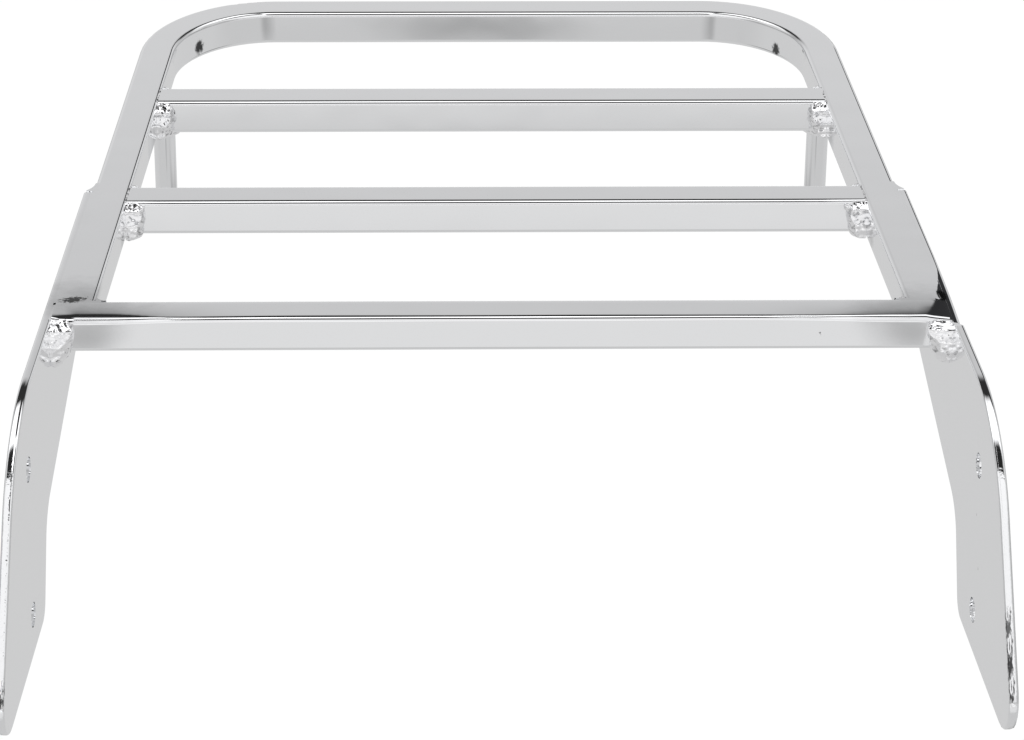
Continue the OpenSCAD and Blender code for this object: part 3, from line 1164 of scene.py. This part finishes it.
@dataclass(frozen=True)
class Studio:
    """The pale room round the rack: its floor, its light and the camera.

    Bands are given as the low and high end of a stretch, and then the values there.

    Attributes:
        floor_drop: How far the floor lies under the rack, in metres.
        floor_size: Its length and width in metres.
        floor_grey: Its own grey.
        floor_white: How much of it the camera sees as plain white, and how bright that is.
        mirror_share: How much of its toned grey the plating mirrors.
        near: The mirrored floor's grey along Y, from in front of the rack to under it.
        behind: What is added to it behind the rack.
        far: What is added to it far in front.
        far_wide: X between which that addition ends.
        outside: The factor on it far out to the sides.
        spots: Its spots of painted shade, which the plating mirrors: one for the back bar, two for the front
            bar and two for the posts.
        camera_place: Where the camera stands, in metres.
        camera_turns: Its turn about Z, how far it looks down and its roll, in degrees.
        camera_lens: Its focal length in mm.
        arch: The light over the rack: greys by angle, from the rear over the top to the front.
        end_arch: The same towards both sides, which the plates' near edges mirror.
        ends: X of a direction between which the second arch sets in, at the left and right.
        wall_side: X of a direction, either way, between which the walls set in.
        wall_grey: The walls' grey by height.
        wall_clouds: The factor on it by a soft cloud pattern.
        flag: The dark flag's grey.
        flag_limits: Its left and right, lower and upper and near ends, as parts of a direction.
    """

    floor_drop: float = 0.16
    floor_size: float = 9.0
    floor_grey: float = 0.80
    floor_white: Span = (0.94, 1.04)
    mirror_share: float = 0.88
    near: Numbers = (-0.49, -0.37, 0.79, 0.60)
    behind: Numbers = (-0.2, 0.1, 0.0, 0.045)
    far: Numbers = (-0.75, -1.5, 0.0, 0.42)
    far_wide: Numbers = (0.7, 0.4)
    outside: Numbers = (0.45, 1.3, 1.0, 0.62)
    spots: tuple[Spot, ...] = (
        Spot((0.006, -0.378), (0.06, 0.035), 0.36),
        Spot((-0.180, -0.53), (0.018, 0.05), 0.42),
        Spot((0.200, -0.53), (0.020, 0.05), 0.42),
        Spot((-0.25, 0.1), (0.08, 0.28), 0.7),
        Spot((0.25, 0.1), (0.08, 0.28), 0.7),
    )
    camera_place: Triple = (-0.02931, -1.21843, 0.65504)
    camera_turns: Triple = (-1.637, 28.767, 0.576)
    camera_lens: float = 138.51
    arch: Arch = (
        (0.0, 0.72), (20.0, 0.70), (24.5, 0.655), (29.0, 0.575), (34.0, 0.45), (38.0, 0.26),
        (42.0, 0.028), (86.0, 0.028), (92.0, 2.1), (109.0, 2.1), (115.0, 0.015), (142.0, 0.015),
        (148.0, 0.97), (180.0, 0.80),
    )
    end_arch: Arch = (
        (0.0, 0.72), (20.0, 0.70), (24.5, 0.655), (29.0, 0.575), (33.0, 0.42), (36.5, 0.12),
        (39.0, 0.028), (55.0, 0.028), (60.0, 1.15), (90.0, 1.6), (96.0, 0.02), (112.0, 0.02),
        (117.0, 1.02), (150.0, 0.98), (180.0, 0.80),
    )
    ends: tuple[Span, ...] = ((-0.062, -0.082), (0.10, 0.125))
    wall_side: Span = (0.45, 0.85)
    wall_grey: Numbers = (0.0, 0.8, 0.50, 0.95)
    wall_clouds: Numbers = (0.3, 0.7, 0.66, 1.12)
    flag: Triple = (0.035, 0.035, 0.037)
    flag_limits: tuple[Span, ...] = (
        (0.21, 0.24), (0.42, 0.36), (0.16, 0.24), (0.80, 0.72), (0.1, 0.25),
    )

    def build_floor(self) -> None:
        """Lays the floor: white to the camera, and in the plating toned by place, with spots of painted
        shade.
        """
        low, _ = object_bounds()
        bpy.ops.mesh.primitive_plane_add(size=self.floor_size, location=(0, 0, low.z - self.floor_drop))
        floor = bpy.context.object
        floor.name = "studio_floor"
        material, sheet, place = start_material("pale_floor")
        parts = sheet.add("SeparateXYZ", Vector=place)
        x, y = parts.outputs["X"], parts.outputs["Y"]
        wide = sheet.maths("ABSOLUTE", x)
        far = sheet.product(sheet.band(y, *self.far), sheet.band(wide, *self.far_wide))
        grey = sheet.total(sheet.band(y, *self.near), sheet.band(y, *self.behind), far)
        # Spots of painted shade under and beside the rack, which only the plating sees
        spots = (spot.put(sheet, x, y) for spot in self.spots)
        tone = sheet.product(grey, sheet.band(wide, *self.outside), *spots)
        ray = sheet.add("LightPath")
        share, brightness = self.floor_white
        matt = sheet.add("BsdfDiffuse", Color=(self.floor_grey,) * 3 + (1,))
        white = sheet.add("Emission", Color=(1, 1, 1, 1), Strength=brightness)
        seen = sheet.product(ray.outputs["Is Camera Ray"], share)
        lit = sheet.add("MixShader", _0=seen, _1=matt, _2=white)
        toned = sheet.add("Emission", Color=(1, 1, 1, 1), Strength=tone)
        mirrored = sheet.product(ray.outputs["Is Glossy Ray"], self.mirror_share)
        mix = sheet.add("MixShader", _0=mirrored, _1=lit, _2=toned)
        sheet.add("OutputMaterial", Surface=mix)
        floor.data.materials.append(material)
        floor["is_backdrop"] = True

    @staticmethod
    def strips(sheet: NodeSheet, sweep: object, arch: Arch) -> Node:
        """Adds one arch of pale and dark strips.

        Args:
            sheet: The world's sheet.
            sweep: The socket with the angle, as a share of the half circle.
            arch: The strips.

        Returns:
            The node that gives their colour.
        """
        ramp = sheet.add("ValToRGB", _0=sweep)
        ramp.color_ramp.interpolation = "LINEAR"
        points = ramp.color_ramp.elements
        while len(points) < len(arch):
            points.new(0.5)
        for point, (angle, grey) in zip(points, arch):
            point.position = angle / 180.0
            point.color = (grey, grey, grey * 1.005, 1)
        return ramp

    def build_light(self) -> None:
        """Hangs the soft light: an arch of pale and dark strips, cloudy walls and a dark flag."""
        world = bpy.data.worlds.new("studio_light")
        bpy.context.scene.world = world
        world.use_nodes = True
        sheet = NodeSheet(world.node_tree)
        place = sheet.add("TexCoord")
        ray = sheet.add("SeparateXYZ", Vector=place.outputs["Generated"])
        side, back, up = ray.outputs["X"], ray.outputs["Y"], ray.outputs["Z"]
        sweep = sheet.maths("DIVIDE", sheet.maths("ARCTAN2", up, back), math.pi)
        ends = sheet.total(*(sheet.band(side, *end) for end in self.ends))
        overhead = sheet.blend(
            ends, self.strips(sheet, sweep, self.arch), self.strips(sheet, sweep, self.end_arch),
        )
        wide = sheet.band(sheet.maths("ABSOLUTE", side), *self.wall_side)
        clouds = sheet.band(sheet.noise(place.outputs["Generated"], 2.6, 1.0), *self.wall_clouds)
        grey = sheet.product(sheet.band(up, *self.wall_grey), clouds)
        walls = sheet.add("CombineColor", _0=grey, _1=grey, _2=grey)
        room_tone = sheet.blend(wide, overhead, walls)
        limits = zip((side, side, up, up, back), self.flag_limits)
        flag = sheet.product(*(sheet.band(value, *limit) for value, limit in limits))
        flagged = sheet.blend(flag, room_tone, (*self.flag, 1))
        rays = sheet.add("LightPath")
        room = sheet.add("Background", Color=flagged, Strength=1.0)
        white = sheet.add("Background", Color=(1, 1, 1, 1), Strength=1.0)
        mix = sheet.add("MixShader", _0=rays.outputs["Is Camera Ray"], _1=room, _2=white)
        sheet.add("OutputWorld", Surface=mix)

    def build_camera(self) -> None:
        """Sets the camera where the picture was taken from."""
        data = bpy.data.cameras.new("photo_camera")
        camera = bpy.data.objects.new("photo_camera", data)
        bpy.context.scene.collection.objects.link(camera)
        data.lens = self.camera_lens
        data.sensor_width = 36.0
        data.clip_start = 0.05
        yaw, pitch, roll = (math.radians(turn) for turn in self.camera_turns)
        aim = (
            Matrix.Rotation(yaw, 3, "Z") @ Matrix.Rotation(math.pi / 2 - pitch, 3, "X")
            @ Matrix.Rotation(roll, 3, "Z")
        )
        camera.matrix_world = Matrix.Translation(self.camera_place) @ aim.to_4x4()
        bpy.context.scene.camera = camera

    def build(self) -> None:
        """Builds the floor, the light and the camera."""
        self.build_floor()
        self.build_light()
        self.build_camera()
        bpy.context.scene.view_settings.view_transform = "Standard"


def main(frame: dict) -> None:
    """Dresses the whole rack.
    """
    nodes = frame["nodes"]
    effects = Effects()
    plating = Plating().build(effects)
    # The marks on these finishes are mostly painted dark reflections.
    front_plating = Plating(name="front_bar_plating", marks=CORNER_MARKS).build(effects)
    hoop_plating = Plating(name="hoop_plating", marks=HOOP_MARKS).build(effects)
    plate_plating = Plating(
        name="plate_side_plating", wave=0.00016, roughness=0.05, marks=PLATE_MARKS, cut_edge=0.00022,
    ).build(effects)
    weld = PlatedWeld().build(effects)
    ground = Plating(
        name="ground_weld", wave=0.00012, roughness=0.07, marks=CORNER_MARKS, specks=0.03,
    ).build(effects)
    CarriedNodes(nodes).build(plating, hoop_plating, ground)
    FrontBar().build(front_plating)
    SidePlates(nodes).build(plate_plating, ground)
    Beads(nodes).build(weld, ground)
    Studio().build()


if __name__ == "__main__":
    logging.basicConfig(level=logging.INFO, format="%(message)s")
    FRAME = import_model()
    main(FRAME)
